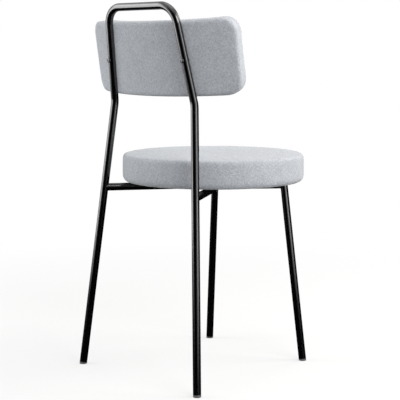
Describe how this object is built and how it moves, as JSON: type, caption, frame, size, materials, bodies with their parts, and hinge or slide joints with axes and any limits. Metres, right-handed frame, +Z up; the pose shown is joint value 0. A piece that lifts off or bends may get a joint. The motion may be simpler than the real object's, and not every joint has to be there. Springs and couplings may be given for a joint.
{
  "type": "dining chair",
  "caption": "Dining chair with a slim black tube frame, a round padded seat and a curved padded back in light grey woven fabric, under a bent top rail.",
  "frame": {"origin": "on the floor, at the middle of the chair's bounding box", "axes": "+Z up, +X towards the sitter's left, +Y towards the chair's back; the sitter faces -Y"},
  "size_m": [0.4438, 0.4536, 0.82],
  "materials": {
    "black_painted_steel": "satin black",
    "grey_plastic": "moulded, matt",
    "light_grey_woven_fabric": "plain weave, light grey",
    "upholstery_foam": "open-cell foam, hidden",
    "plywood": "raw plywood, hidden",
    "black_underside_cloth": "black nonwoven",
    "bare_steel_hardware": "zinc plated",
    "dark_steel_screws": "blackened",
    "black_plastic": "moulded, matt black"
  },
  "bodies": {
    "root": {"rear_hoop": "black_painted_steel", "rear_yoke": "black_painted_steel", "front_yoke": "black_painted_steel", "front_left_leg": "black_painted_steel", "front_right_leg": "black_painted_steel", "rear_left_glide": "grey_plastic", "rear_right_glide": "grey_plastic", "front_left_glide": "grey_plastic", "front_right_glide": "grey_plastic", "seat_cover": "light_grey_woven_fabric", "seat_foam": "upholstery_foam", "seat_base": "plywood", "seat_dust_cover": "black_underside_cloth", "seat_staples": "bare_steel_hardware", "seat_spacers": "black_plastic", "seat_saddle_washers": "black_plastic", "seat_hole_plugs": "black_plastic", "seat_tee_nuts": "bare_steel_hardware", "seat_screws": "dark_steel_screws", "back_cover": "light_grey_woven_fabric", "back_front_foam": "upholstery_foam", "back_rear_foam": "upholstery_foam", "back_panel": "plywood", "back_tee_nuts": "bare_steel_hardware", "back_screws": "dark_steel_screws"}
  },
  "joints": []
}
